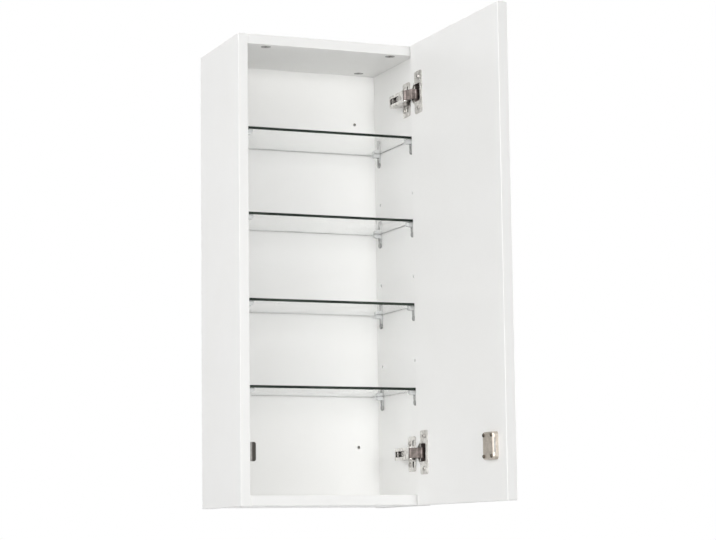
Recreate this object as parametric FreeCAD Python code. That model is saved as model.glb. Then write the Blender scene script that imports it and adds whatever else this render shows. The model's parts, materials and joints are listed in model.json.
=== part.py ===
import FreeCAD, Part
import math
import os

from FreeCAD import Placement, Rotation, Vector

# Millimetres. +Z up, the cabinet's front faces -Y, the wall is the plane Y = 0.
# The origin is the middle of the four wall screw holes, on the wall plane.

# Carcass
cabinet_width = 300.0
cabinet_height = 700.0
cabinet_depth = 180.0
board = 15.0
back_board = 3.0
edge_bevel = 0.6
groove_depth = 6.0
groove_play = 0.2
bottom_rise = 1.0
rail_height = 100.0
rail_thickness = 15.0

# Wall screw holes
wall_hole_height = 94.0
wall_hole_inset = 34.0
wall_hole_diameter = 5.0

# Corner joints
cam_inset = 34.0
cam_diameter = 15.0
cam_height = 12.2
cam_play = 0.1
cam_slot_width = 1.4
cam_slot_length = 7.5
cam_slot_depth = 2.2
bolt_diameter = 6.0
bolt_head_diameter = 7.0
bolt_screw_depth = 11.0
bolt_bore_play = 0.3
dowel_diameter = 8.0
dowel_in_side = 9.0
dowel_in_panel = 21.0
dowel_offset = 32.0
glue_play = 0.02

# Rows of holes in the side panels: the front row is measured from the carcass front, the rear row from
# the back panel, the lowest and highest shelf hole from the cabinet's bottom and top
front_row = 15.0
rear_row = 19.0
shelf_hole_count = 7
lowest_shelf_hole = 155.0
highest_shelf_hole = 161.0
shelf_pin_diameter = 5.0
shelf_pin_length = 8.0
shelf_hole_extra = 1.0
shelf_pin_play = 0.05

# Glass shelves and their supports
shelf_step = 2
glass_thickness = 4.0
glass_side_gap = 1.0
glass_front_setback = 4.0
glass_back_gap = 2.0
glass_edge_bevel = 0.4
support_rise = 17.5
support_boss_diameter = 9.0
support_stem_width = 6.0
support_plate = 2.5
support_ledge_reach = 11.0
support_ledge_height = 6.0
support_ledge_width = 9.0
support_ledge_round = 3.0

# Door
door_thickness = 15.0
door_side_gap = 2.0
door_end_gap = 0.5
door_front_gap = 2.0
door_bevel = 0.7
door_open_angle = 91.0

# Hinge places
hinge_height = 78.0
cup_edge_distance = 5.0
cup_diameter = 35.0
cup_depth = 11.5
cup_wall = 0.9
cup_bore_play = 0.1
flange_thickness = 1.2
flange_rim = 1.0
flange_screw_spacing = 48.0
flange_screw_offset = 6.0
flange_width = 26.0
flange_height = 65.0
flange_corner = 4.0
flange_screw_diameter = 3.5
flange_screw_head = 6.6
flange_screw_length = 11.0
screw_head_height = 1.6
pin_cheek_margin = 1.0
cup_mouth_height = 27.0
cup_mouth_reach = 12.0
cup_mouth_corner = 4.0

# Hinge linkage in plan: the arm pin is measured from the right panel's inner face and the carcass front,
# the cup pin from the door's hinge edge and into the door from its inner face.
arm_pin_inset = 17.0
arm_pin_ahead = 2.1
cup_pin_from_edge = 11.6
cup_pin_depth = 3.4
link_turn_per_door_turn = -0.458
link_crook_along = 0.75
link_crook_out = 6.0
link_thickness = 2.0
link_width = 15.0
knuckle_radius = 2.4
pin_radius = 1.25
pin_running_play = 0.05
link_side_play = 0.4

# Hinge arm and wing plate
arm_sheet = 1.2
arm_height = 18.5
arm_low_edge = 4.5
arm_roof_start = 3.0
arm_throat = 5.0
arm_belly_start = 19.0
arm_length = 56.0
arm_heel_length = 8.0
arm_heel_height = 5.0
arm_nose_radius = 3.2
plate_thickness = 1.8
plate_screw_row = 37.0
plate_second_row = 13.0
plate_front = 17.0
plate_rear = 43.0
plate_height = 53.0
plate_corner = 4.0
plate_screw_spacing = 32.0
plate_hole_diameter = 4.5
plate_slot_length = 9.0
plate_screw_head = 7.6
plate_screw_length = 13.0
saddle_front = 31.0
saddle_rear = 54.0
saddle_wall = 1.5
saddle_side_play = 0.4
saddle_thread = 3.0
tongue_front = 14.0
fixing_screw_place = 45.0
fixing_slot_length = 14.0
adjusting_screw_place = 26.5
pocket_front = 22.0
pocket_rear = 53.0
pocket_width = 8.4
pocket_depth = 2.0
arm_screw_diameter = 4.0
arm_screw_head = 7.0
cross_slot_width = 1.2
cross_slot_length = 4.2
cross_slot_depth = 1.1

# Lock on the door and keeper on the left panel
lock_height = 77.0
lock_from_free_edge = 25.0
lock_case_width = 33.0
lock_case_height = 38.5
lock_case_depth = 8.5
lock_case_wall = 1.2
lock_case_corner = 4.5
lock_case_heel_corner = 3.0
lock_case_front_round = 2.5
lock_screw_inset = 4.6
lock_screw_diameter = 3.0
lock_screw_head = 5.4
lock_screw_length = 17.0
lock_post_diameter = 6.0
bolt_plate_height = 20.0
bolt_plate_thickness = 2.4
bolt_plate_length = 27.0
bolt_lift = 4.6
bolt_play = 0.2
cylinder_diameter = 16.0
cylinder_wall = 2.7
cylinder_lift = 3.4
rosette_diameter = 22.0
rosette_thickness = 1.5
rosette_round = 0.9
cylinder_play = 0.1
plug_proud = 0.4
plug_play = 0.05
driver_disc_thickness = 0.8
driver_disc_margin = 0.3
driver_gap = 0.1
stud_radius = 1.5
stud_throw = 4.5
stud_turn = 90.0
stud_slot_play = 0.3
keyhole_width = 2.0
keyhole_height = 7.0
keyhole_depth = 7.0
keeper_rise = 2.3
keeper_reach = 8.6
keeper_height = 28.0
keeper_thickness = 2.0
keeper_base_length = 17.0
keeper_front_setback = 0.3
keeper_corner = 3.0
keeper_screw_spacing = 16.0
keeper_screw_place = 10.5
keeper_screw_diameter = 3.0
keeper_screw_head = 5.6
keeper_screw_length = 10.0

# Drawing aids: how far a cutting tool stands out of the face it enters, and how near two places are one
cut_past = 1.0
same_place = 0.01

# Places worked out from the sizes
half_width = cabinet_width / 2
half_height = cabinet_height / 2
inner_x = half_width - board
front_y = -cabinet_depth
floor_z = -half_height
ceiling_z = half_height - board
bottom_top_z = floor_z + bottom_rise + board
back_rear_y = -rail_thickness
back_front_y = back_rear_y - back_board
row_ys = (front_y + front_row, back_front_y - rear_row)
shelf_hole_pitch = (cabinet_height - lowest_shelf_hole - highest_shelf_hole) / (shelf_hole_count - 1)
wall_hole_x = inner_x - wall_hole_inset
wall_hole_z = half_height - wall_hole_height
hinge_zs = {"upper": half_height - hinge_height, "lower": -half_height + hinge_height}
lock_z = floor_z + lock_height
keeper_z = lock_z + keeper_rise
door_width = cabinet_width - 2 * door_side_gap
door_height = cabinet_height - 2 * door_end_gap
cup_centre = cup_edge_distance + cup_diameter / 2
cup_outer_radius = cup_diameter / 2 - cup_bore_play
cup_inner_radius = cup_outer_radius - cup_wall
arm_inner_half = link_width / 2 + link_side_play
arm_outer_half = arm_inner_half + arm_sheet
link_half = link_width / 2
screw_seat = arm_height - pocket_depth
saddle_top = screw_seat - arm_sheet


def box(x0, x1, y0, y1, z0, z1):
    corner = Vector(min(x0, x1), min(y0, y1), min(z0, z1))
    return Part.makeBox(abs(x1 - x0), abs(y1 - y0), abs(z1 - z0), corner)


def rod(start, end, radius):
    return Part.makeCylinder(radius, (end - start).Length, start, end - start)


def prism(points, z0, z1):
    corners = [Vector(x, y, z0) for x, y in points]
    face = Part.Face(Part.makePolygon(corners + corners[:1]))
    return face.extrude(Vector(0, 0, z1 - z0))


def joined(shapes):
    return shapes[0].multiFuse(shapes[1:]).removeSplitter()


def without(shape, tools):
    return shape.cut(Part.makeCompound(tools))


def board_solid(x0, x1, y0, y1, z0, z1, bevel):
    solid = box(x0, x1, y0, y1, z0, z1)
    return solid.makeChamfer(bevel, solid.Edges)


def save(name, shapes):
    shape = shapes[0] if len(shapes) == 1 else Part.makeCompound(shapes)
    shape.exportStep("parts/" + name + ".step")


# Corner joints: each end of the top and bottom panel has two cams with bolts and two dowels

def corner_joint_places():
    for z in (ceiling_z, floor_z + bottom_rise):
        for side in (-1, 1):
            for y in row_ys:
                yield side, y, z


def dowel_places():
    for z in (ceiling_z + board / 2, floor_z + bottom_rise + board / 2):
        for side in (-1, 1):
            for y in (row_ys[0] + dowel_offset, row_ys[1] - dowel_offset):
                yield side, y, z
    for z in rail_centres():
        for side in (-1, 1):
            yield side, -rail_thickness / 2, z


def rail_centres():
    return (ceiling_z - rail_height / 2, bottom_top_z + rail_height / 2)


def dowel(side, y, z, play=0.0):
    outer = Vector(side * (inner_x + dowel_in_side + play), y, z)
    inner = Vector(side * (inner_x - dowel_in_panel - play), y, z)
    return rod(outer, inner, dowel_diameter / 2 + play)


def cam_bore(side, y, z):
    x = side * (inner_x - cam_inset)
    return rod(Vector(x, y, z), Vector(x, y, z + cam_height + cam_play), cam_diameter / 2 + cam_play)


def bolt_bore(side, y, z):
    start = Vector(side * (inner_x + bolt_screw_depth), y, z + board / 2)
    middle = Vector(side * inner_x, y, z + board / 2)
    end = Vector(side * (inner_x - cam_inset), y, z + board / 2)
    screw = rod(start, middle, bolt_diameter / 2 + glue_play)
    return screw.fuse(rod(middle, end, bolt_head_diameter / 2 + bolt_bore_play))


def cam_lock(side, y, z):
    x = side * (inner_x - cam_inset)
    body = rod(Vector(x, y, z), Vector(x, y, z + cam_height), cam_diameter / 2)
    mouth = rod(
        Vector(x + side * cam_diameter, y, z + board / 2),
        Vector(x - side * bolt_head_diameter / 2, y, z + board / 2),
        bolt_head_diameter / 2 + bolt_bore_play,
    )
    thin = cam_slot_width / 2
    reach = cam_slot_length / 2
    cross = [
        box(x - reach, x + reach, y - thin, y + thin, z, z + cam_slot_depth),
        box(x - thin, x + thin, y - reach, y + reach, z, z + cam_slot_depth),
    ]
    return without(body, [mouth] + cross)


def cam_bolt(side, y, z):
    height = z + board / 2
    neck = inner_x - cam_inset + bolt_head_diameter / 2
    shaft = rod(Vector(side * (inner_x + bolt_screw_depth), y, height), Vector(side * neck, y, height),
                bolt_diameter / 2)
    head = rod(Vector(side * neck, y, height), Vector(side * (neck - bolt_head_diameter / 2), y, height),
               bolt_head_diameter / 2)
    return shaft.fuse(head)


# Carcass panels

def shelf_hole_heights():
    return [floor_z + lowest_shelf_hole + i * shelf_hole_pitch for i in range(shelf_hole_count)]


def shelf_hole(side, y, z):
    radius = shelf_pin_diameter / 2 + shelf_pin_play
    depth = shelf_pin_length + shelf_hole_extra
    return rod(Vector(side * inner_x, y, z), Vector(side * (inner_x + depth), y, z), radius)


def back_groove(side):
    x0 = side * (inner_x - cut_past)
    x1 = side * (inner_x + groove_depth)
    return box(x0, x1, back_front_y - groove_play, back_rear_y + groove_play,
               bottom_top_z - groove_depth, ceiling_z + groove_depth)


def side_panel(side):
    panel = board_solid(side * inner_x, side * half_width, front_y, 0, floor_z, half_height, edge_bevel)
    tools = [back_groove(side)]
    tools += [shelf_hole(side, y, z) for y in row_ys for z in shelf_hole_heights()]
    tools += [bolt_bore(*place) for place in corner_joint_places() if place[0] == side]
    tools += [dowel(*place, play=glue_play) for place in dowel_places() if place[0] == side]
    if side > 0:
        tools += [plate_screw(z, y_row, glue_play) for z, y_row in plate_screw_places()]
    else:
        tools += [keeper_screw(z, glue_play) for z in keeper_screw_heights()]
    return without(panel, tools)


def flat_panel(low_z, inner_face_z, outward):
    panel = board_solid(-inner_x, inner_x, front_y, 0, low_z, low_z + board, edge_bevel)
    end = inner_x + cut_past
    groove = box(-end, end, back_front_y - groove_play, back_rear_y + groove_play,
                 inner_face_z - outward * cut_past, inner_face_z + outward * groove_depth)
    tools = [groove]
    for place in corner_joint_places():
        if place[2] == low_z:
            tools += [cam_bore(*place), bolt_bore(*place)]
    for place in dowel_places():
        if place[2] == low_z + board / 2:
            tools.append(dowel(*place, play=glue_play))
    return without(panel, tools)


def wall_holes():
    holes = []
    for x in (-wall_hole_x, wall_hole_x):
        for z in (-wall_hole_z, wall_hole_z):
            start = Vector(x, back_front_y - cut_past, z)
            holes.append(rod(start, Vector(x, cut_past, z), wall_hole_diameter / 2))
    return holes


def back_panel():
    tuck = groove_depth - groove_play
    panel = box(-inner_x - tuck, inner_x + tuck, back_front_y, back_rear_y,
                bottom_top_z - tuck, ceiling_z + tuck)
    return without(panel, wall_holes())


def wall_rail(centre_z):
    rail = box(-inner_x, inner_x, back_rear_y, 0, centre_z - rail_height / 2, centre_z + rail_height / 2)
    pegs = [dowel(*place, play=glue_play) for place in dowel_places() if place[2] == centre_z]
    return without(rail, wall_holes() + pegs)


# Shelves

def glass_shelf(pin_z):
    low = pin_z + support_rise
    reach = inner_x - glass_side_gap
    return board_solid(-reach, reach, front_y + glass_front_setback, back_front_y - glass_back_gap,
                       low, low + glass_thickness, glass_edge_bevel)


def shelf_support(side, y, pin_z):
    face_x = side * inner_x
    plate_x = side * (inner_x - support_plate)
    ledge_x = side * (inner_x - support_ledge_reach)
    ledge_top = pin_z + support_rise
    ledge_low = ledge_top - support_ledge_height
    pin = rod(Vector(plate_x, y, pin_z), Vector(side * (inner_x + shelf_pin_length), y, pin_z),
              shelf_pin_diameter / 2)
    boss = rod(Vector(face_x, y, pin_z), Vector(plate_x, y, pin_z), support_boss_diameter / 2)
    half = support_stem_width / 2
    wide = support_ledge_width / 2
    outline = [(y - half, pin_z), (y + half, pin_z), (y + wide, ledge_low), (y + wide, ledge_top),
               (y - wide, ledge_top), (y - wide, ledge_low)]
    corners = [Vector(face_x, a, b) for a, b in outline]
    stem = Part.Face(Part.makePolygon(corners + corners[:1])).extrude(Vector(plate_x - face_x, 0, 0))
    ledge = box(face_x, ledge_x, y - wide, y + wide, ledge_low, ledge_top)
    lower_front = [edge for edge in ledge.Edges
                   if abs(edge.CenterOfMass.x - ledge_x) < same_place
                   and abs(edge.CenterOfMass.z - ledge_low) < same_place]
    ledge = ledge.makeFillet(support_ledge_round, lower_front)
    return joined([pin, boss, stem, ledge])


# Hinge linkage in plan, with the door closed and then open

def arm_pin_point():
    return Vector(inner_x - arm_pin_inset, front_y - arm_pin_ahead, 0)


def door_point(along, depth, z=0.0):
    return Vector(half_width - door_side_gap - along, front_y - door_front_gap - depth, z)


def cup_pin_closed():
    return door_point(cup_pin_from_edge, cup_pin_depth)


def turned_about(point, centre, degrees):
    return centre + Rotation(Vector(0, 0, 1), degrees).multVec(point - centre)


def link_open_turn():
    return link_turn_per_door_turn * door_open_angle


def cup_pin_open():
    return turned_about(cup_pin_closed(), arm_pin_point(), link_open_turn())


def door_opening():
    turn = Rotation(Vector(0, 0, 1), door_open_angle)
    return Placement(cup_pin_open() - turn.multVec(cup_pin_closed()), turn)


def opened(shape):
    moved = shape.copy()
    moved.Placement = door_opening().multiply(moved.Placement)
    return moved


def hinge_link(z):
    arm_pin = arm_pin_point()
    cup_pin = cup_pin_open()
    along = cup_pin - arm_pin
    across = Vector(along.y, -along.x, 0).normalize()
    crook = arm_pin + along * link_crook_along + across * link_crook_out
    low = Vector(0, 0, z - link_half)
    tall = Vector(0, 0, link_width)
    pieces = [rod(low + point, low + point + tall, radius) for point, radius in
              ((arm_pin, knuckle_radius), (crook, link_thickness / 2), (cup_pin, knuckle_radius))]
    for start, end in ((arm_pin, crook), (crook, cup_pin)):
        side = Vector(start.y - end.y, end.x - start.x, 0).normalize() * (link_thickness / 2)
        outline = [start + side, start - side, end - side, end + side]
        pieces.append(prism([(p.x, p.y) for p in outline], z - link_half, z + link_half))
    hole = pin_radius + pin_running_play
    bores = [rod(low + point, low + point + tall, hole) for point in (arm_pin, cup_pin)]
    return without(joined(pieces), bores)


# Hinge arm, wing plate and their screws, on the right panel

def arm_point(inset, back, z=0.0):
    return Vector(inner_x - inset, front_y + back, z)


def arm_outline():
    pin = arm_pin_point()
    nose_low = arm_pin_inset - arm_nose_radius
    slant = arm_nose_radius * math.sqrt(0.5)
    return [
        (pin.x - slant, pin.y + slant),
        (inner_x - arm_height, front_y + arm_roof_start),
        (inner_x - arm_height, front_y + arm_length),
        (inner_x - arm_low_edge - arm_heel_height, front_y + arm_length),
        (inner_x - arm_low_edge, front_y + arm_length - arm_heel_length),
        (inner_x - arm_low_edge, front_y + arm_belly_start),
        (inner_x - nose_low, front_y + arm_throat),
        (inner_x - nose_low, pin.y),
        (pin.x, pin.y),
    ]


def slot_cutter(ends, thickness, radius):
    rods = [rod(end, end + thickness, radius) for end in ends]
    run = (ends[1] - ends[0]).normalize()
    side = run.cross(thickness).normalize() * radius
    corners = [ends[0] + side, ends[1] + side, ends[1] - side, ends[0] - side]
    middle = Part.Face(Part.makePolygon(corners + corners[:1])).extrude(thickness)
    return joined([middle] + rods)


def hinge_arm(z):
    pin = arm_pin_point()
    cheeks = []
    for low in (z - arm_outer_half, z + arm_inner_half):
        cheek = prism(arm_outline(), low, low + arm_sheet)
        nose = rod(pin + Vector(0, 0, low), pin + Vector(0, 0, low + arm_sheet), arm_nose_radius)
        cheeks.append(cheek.fuse(nose))
    roof_x = inner_x - arm_height
    roof = box(roof_x, roof_x + arm_sheet, front_y + arm_roof_start, front_y + arm_length,
               z - arm_outer_half, z + arm_outer_half)
    floor_x = roof_x + pocket_depth
    half = pocket_width / 2
    tray = box(roof_x, floor_x + arm_sheet, front_y + pocket_front - arm_sheet,
               front_y + pocket_rear + arm_sheet, z - half - arm_sheet, z + half + arm_sheet)
    pocket = box(roof_x - cut_past, floor_x, front_y + pocket_front, front_y + pocket_rear,
                 z - half, z + half)
    past = arm_outer_half + cut_past
    tools = [pocket, rod(pin + Vector(0, 0, z - past), pin + Vector(0, 0, z + past), pin_radius + glue_play)]
    hole = arm_screw_diameter / 2 + glue_play
    through = Vector(arm_sheet + 2 * cut_past, 0, 0)
    start = arm_point(screw_seat + cut_past, adjusting_screw_place, z)
    tools.append(rod(start, start + through, hole))
    half_run = (fixing_slot_length - arm_screw_diameter) / 2
    middle = arm_point(screw_seat + cut_past, fixing_screw_place, z)
    ends = [middle + Vector(0, run, 0) for run in (-half_run, half_run)]
    tools.append(slot_cutter(ends, through, hole))
    return without(joined(cheeks + [roof, tray]), tools)


def plate_screw_places():
    for z in hinge_zs.values():
        for offset in (-plate_screw_spacing / 2, plate_screw_spacing / 2):
            yield z + offset, plate_screw_row


def plate_screw(z, row, play=0.0):
    start = arm_point(plate_thickness, row, z)
    shaft = rod(start, arm_point(plate_thickness - plate_screw_length - play, row, z),
                plate_hole_diameter / 2 - glue_play + play)
    head = rod(arm_point(plate_thickness + screw_head_height, row, z), start, plate_screw_head / 2)
    return shaft if play else shaft.fuse(head)


def hinge_plate(z):
    wings = box(inner_x - plate_thickness, inner_x, front_y + plate_front, front_y + plate_rear,
                z - plate_height / 2, z + plate_height / 2)
    wings = wings.makeFillet(plate_corner, [e for e in wings.Edges if abs(e.tangentAt(0).x) > 0.9])
    half = arm_inner_half - saddle_side_play
    top = saddle_top
    tongue = box(inner_x - plate_thickness, inner_x, front_y + tongue_front,
                 front_y + saddle_rear, z - half, z + half)
    saddle = box(inner_x - top, inner_x, front_y + saddle_front, front_y + saddle_rear, z - half, z + half)
    hollow = box(inner_x - top + saddle_wall, inner_x + cut_past, front_y + saddle_front + saddle_wall,
                 front_y + saddle_rear - saddle_wall, z - half + saddle_wall, z + half - saddle_wall)
    holes = []
    through = Vector(plate_thickness + 2 * cut_past, 0, 0)
    half_run = (plate_slot_length - plate_hole_diameter) / 2
    for offset in (-plate_screw_spacing / 2, plate_screw_spacing / 2):
        start = arm_point(plate_thickness + cut_past, plate_screw_row, z + offset)
        holes.append(rod(start, start + through, plate_hole_diameter / 2))
        front = start - Vector(0, plate_second_row, 0)
        ends = [front + Vector(0, 0, run) for run in (-half_run, half_run)]
        holes.append(slot_cutter(ends, through, plate_hole_diameter / 2))
    holes.append(rod(arm_point(top + cut_past, fixing_screw_place, z),
                     arm_point(top - saddle_thread, fixing_screw_place, z),
                     arm_screw_diameter / 2 + glue_play))
    return without(joined([wings, tongue, saddle]), [hollow] + holes)


def arm_screw(place, end_inset, z):
    seat = arm_point(screw_seat, place, z)
    shaft = rod(seat, arm_point(end_inset, place, z), arm_screw_diameter / 2)
    head = rod(arm_point(screw_seat + screw_head_height, place, z), seat, arm_screw_head / 2)
    thin = cross_slot_width / 2
    reach = cross_slot_length / 2
    top = inner_x - screw_seat - screw_head_height
    y = front_y + place
    cross = [
        box(top, top + cross_slot_depth, y - reach, y + reach, z - thin, z + thin),
        box(top, top + cross_slot_depth, y - thin, y + thin, z - reach, z + reach),
    ]
    return without(shaft.fuse(head), cross)


def arm_pin(z):
    pin = arm_pin_point()
    reach = Vector(0, 0, arm_outer_half)
    return rod(pin + Vector(0, 0, z) - reach, pin + Vector(0, 0, z) + reach, pin_radius)


# Door and the hinge cups, drawn closed and then opened

def door_solid(along0, along1, depth0, depth1, z0, z1):
    a = door_point(along0, depth0)
    b = door_point(along1, depth1)
    return box(a.x, b.x, a.y, b.y, z0, z1)


def cup_axis(depth, z):
    return door_point(cup_centre, depth, z)


def cup_screw_places():
    for z in hinge_zs.values():
        for offset in (-flange_screw_spacing / 2, flange_screw_spacing / 2):
            yield z + offset


def cup_screw(z, play=0.0):
    along = cup_centre + flange_screw_offset
    seat = door_point(along, -flange_thickness, z)
    end = door_point(along, flange_screw_length - flange_thickness + play, z)
    shaft = rod(seat, end, flange_screw_diameter / 2 + play)
    head = rod(door_point(along, -flange_thickness - screw_head_height, z), seat, flange_screw_head / 2)
    return shaft if play else shaft.fuse(head)


def door_panel():
    a = door_point(0, 0)
    b = door_point(door_width, door_thickness)
    panel = board_solid(a.x, b.x, a.y, b.y, -door_height / 2, door_height / 2, door_bevel)
    tools = []
    for z in hinge_zs.values():
        tools.append(rod(cup_axis(-cut_past, z), cup_axis(cup_depth, z), cup_diameter / 2))
    tools += [cup_screw(z, glue_play) for z in cup_screw_places()]
    tools.append(rod(lock_point(-cut_past), lock_point(door_thickness + cut_past),
                     cylinder_diameter / 2 + cylinder_play))
    tools += [lock_screw(across, up, glue_play) for across, up in lock_screw_places()]
    return opened(without(panel, tools))


def pin_cheeks(z):
    width = knuckle_radius + pin_cheek_margin
    sides = []
    for sign in (-1, 1):
        sides.append(door_solid(cup_pin_from_edge - width, cup_pin_from_edge + width,
                                cup_pin_depth - width, cup_depth,
                                z + sign * arm_inner_half, z + sign * cup_outer_radius))
    bowl = rod(cup_axis(0, z), cup_axis(cup_depth - cup_wall / 2, z), cup_inner_radius + cup_wall / 2)
    return [side.common(bowl) for side in sides]


def cup_flange(z):
    along = cup_centre + flange_screw_offset
    half = flange_height / 2
    plate = door_solid(along - flange_width / 2, along + flange_width / 2, -flange_thickness, 0,
                       z - half, z + half)
    return plate.makeFillet(flange_corner, [edge for edge in plate.Edges if abs(edge.tangentAt(0).y) > 0.9])


def cup_hollow(z):
    half = cup_mouth_height / 2
    far = cup_centre + cup_mouth_reach
    well = rod(cup_axis(-flange_thickness - cut_past, z), cup_axis(cup_depth - cup_wall, z), cup_inner_radius)
    mouth = door_solid(0, far, -flange_thickness - cut_past, cup_depth, z - half, z + half)
    far_x = door_point(far, 0).x
    corners = [edge for edge in mouth.Edges
               if abs(edge.tangentAt(0).y) > 0.9 and abs(edge.CenterOfMass.x - far_x) < same_place]
    return well.common(mouth.makeFillet(cup_mouth_corner, corners))


def hinge_cup(z):
    bowl = rod(cup_axis(0, z), cup_axis(cup_depth, z), cup_outer_radius)
    rim = rod(cup_axis(-flange_thickness, z), cup_axis(0, z), cup_diameter / 2 + flange_rim)
    along = cup_centre + flange_screw_offset
    half = flange_screw_spacing / 2
    shell = without(joined([bowl, rim, cup_flange(z)]), [cup_hollow(z)])
    pin = cup_pin_closed()
    reach = Vector(0, 0, cup_outer_radius)
    pin_hole = rod(pin + Vector(0, 0, z) - reach, pin + Vector(0, 0, z) + reach, pin_radius + glue_play)
    tools = [pin_hole.common(rod(cup_axis(0, z), cup_axis(cup_depth, z), cup_inner_radius))]
    for offset in (-half, half):
        tools.append(rod(door_point(along, -flange_thickness - cut_past, z + offset),
                         door_point(along, cut_past, z + offset), flange_screw_diameter / 2 + glue_play))
    return opened(without(joined([shell] + pin_cheeks(z)), tools))


def cup_pin(z):
    pin = cup_pin_closed()
    across = cup_centre - cup_pin_from_edge + pin_radius
    reach = Vector(0, 0, math.sqrt(cup_inner_radius ** 2 - across ** 2) - glue_play)
    return opened(rod(pin + Vector(0, 0, z) - reach, pin + Vector(0, 0, z) + reach, pin_radius))


# Lock: places are measured from the middle of the case, towards the door's free edge and up

def lock_point(depth, towards_edge=0.0, up=0.0):
    along = door_width - lock_from_free_edge - lock_case_width / 2 + towards_edge
    return door_point(along, depth, lock_z + up)


def lock_block(edge0, edge1, depth0, depth1, up0, up1):
    a = lock_point(depth0, edge0, up0)
    b = lock_point(depth1, edge1, up1)
    return box(a.x, b.x, a.y, b.y, a.z, b.z)


def lock_screw_places():
    across = lock_case_width / 2 - lock_screw_inset
    up = lock_case_height / 2 - lock_screw_inset
    return [(a, b) for a in (-across, across) for b in (-up, up)]


def lock_screw(across, up, play=0.0):
    seat = lock_point(-lock_case_depth, across, up)
    end = lock_point(lock_screw_length - lock_case_depth + play, across, up)
    shaft = rod(seat, end, lock_screw_diameter / 2 + play)
    head = rod(lock_point(-lock_case_depth - screw_head_height, across, up), seat, lock_screw_head / 2)
    return shaft if play else shaft.fuse(head)


def bolt_levels():
    low = -bolt_lift
    return low, low - bolt_plate_thickness


def rounded_case(shrink, open_end):
    half_w = lock_case_width / 2 - shrink
    half_h = lock_case_height / 2 - shrink
    block = lock_block(-half_w, half_w, -lock_case_depth + shrink, open_end, -half_h, half_h)
    for side, radius in ((half_w, lock_case_corner), (-half_w, lock_case_heel_corner)):
        side_x = lock_point(0, side).x
        corners = [edge for edge in block.Edges
                   if abs(edge.tangentAt(0).y) > 0.9 and abs(edge.CenterOfMass.x - side_x) < same_place]
        block = block.makeFillet(radius - shrink, corners)
    face_y = lock_point(-lock_case_depth + shrink).y
    rim = [edge for edge in block.Edges if abs(edge.CenterOfMass.y - face_y) < same_place]
    return block.makeFillet(lock_case_front_round - shrink, rim)


def lock_case():
    half_w = lock_case_width / 2
    wall = lock_case_wall
    shell = rounded_case(0, 0).cut(rounded_case(wall, cut_past))
    posts = []
    for across, up in lock_screw_places():
        posts.append(rod(lock_point(-lock_case_depth + wall / 2, across, up), lock_point(0, across, up),
                         lock_post_diameter / 2))
    low, high = bolt_levels()
    half_bolt = bolt_plate_height / 2 + bolt_play
    tools = [lock_block(half_w - wall - cut_past, half_w + cut_past, low + bolt_play, high - bolt_play,
                        -half_bolt, half_bolt)]
    tools += [lock_screw(across, up, glue_play) for across, up in lock_screw_places()]
    return opened(without(joined([shell] + posts), tools))


def stud_offset():
    half_turn = math.radians(stud_turn / 2)
    return stud_throw * math.sin(half_turn), stud_throw * math.cos(half_turn)


def lock_bolt():
    tip = lock_case_width / 2
    low, high = bolt_levels()
    half_h = bolt_plate_height / 2
    plate = lock_block(tip - bolt_plate_length, tip, low, high, -half_h, half_h)
    back, up = stud_offset()
    half_slot = stud_radius + stud_slot_play
    slot = lock_block(-back - half_slot, -back + half_slot, low + cut_past, high - cut_past,
                      up - half_slot, stud_throw + half_slot)
    return opened(plate.cut(slot))


def lock_cylinder():
    radius = cylinder_diameter / 2
    barrel = rod(lock_point(-cylinder_lift), lock_point(door_thickness), radius)
    rosette = rod(lock_point(door_thickness), lock_point(door_thickness + rosette_thickness),
                  rosette_diameter / 2)
    ring = [edge for edge in rosette.Edges
            if abs(edge.CenterOfMass.y - lock_point(door_thickness + rosette_thickness).y) < same_place]
    rosette = rosette.makeFillet(rosette_round, ring)
    bore = rod(lock_point(-cylinder_lift - cut_past),
               lock_point(door_thickness + rosette_thickness + cut_past), radius - cylinder_wall)
    return opened(barrel.fuse(rosette).removeSplitter().cut(bore))


def key_plug():
    radius = cylinder_diameter / 2 - cylinder_wall - plug_play
    face = door_thickness + rosette_thickness + plug_proud
    barrel = rod(lock_point(-cylinder_lift - driver_gap), lock_point(face), radius)
    low, high = bolt_levels()
    disc_end = -cylinder_lift - driver_gap - driver_disc_thickness
    disc = rod(lock_point(disc_end), lock_point(-cylinder_lift - driver_gap),
               stud_throw + stud_radius + driver_disc_margin)
    back, up = stud_offset()
    stud = rod(lock_point(disc_end, -back, up), lock_point(high, -back, up), stud_radius)
    keyhole = lock_block(-keyhole_width / 2, keyhole_width / 2, face - keyhole_depth, face + cut_past,
                         -keyhole_height / 2, keyhole_height / 2)
    return opened(joined([barrel, disc, stud]).cut(keyhole))


# Keeper on the left panel

def keeper_screw_heights():
    return (keeper_z - keeper_screw_spacing / 2, keeper_z + keeper_screw_spacing / 2)


def keeper_screw(z, play=0.0):
    y = front_y + keeper_front_setback + keeper_screw_place
    seat = Vector(-inner_x + keeper_thickness, y, z)
    shaft = rod(seat, Vector(-inner_x + keeper_thickness - keeper_screw_length - play, y, z),
                keeper_screw_diameter / 2 + play)
    head = rod(seat, Vector(-inner_x + keeper_thickness + screw_head_height, y, z), keeper_screw_head / 2)
    return shaft if play else shaft.fuse(head)


def lock_keeper():
    front = front_y + keeper_front_setback
    low = keeper_z - keeper_height / 2
    high = keeper_z + keeper_height / 2
    leg = box(-inner_x, -inner_x + keeper_reach, front, front + keeper_thickness, low, high)
    tip = [edge for edge in leg.Edges
           if abs(edge.tangentAt(0).y) > 0.9
           and abs(edge.CenterOfMass.x + inner_x - keeper_reach) < same_place]
    leg = leg.makeFillet(keeper_corner, tip)
    base = box(-inner_x, -inner_x + keeper_thickness, front, front + keeper_base_length, low, high)
    return without(joined([leg, base]), [keeper_screw(z, glue_play) for z in keeper_screw_heights()])


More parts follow.
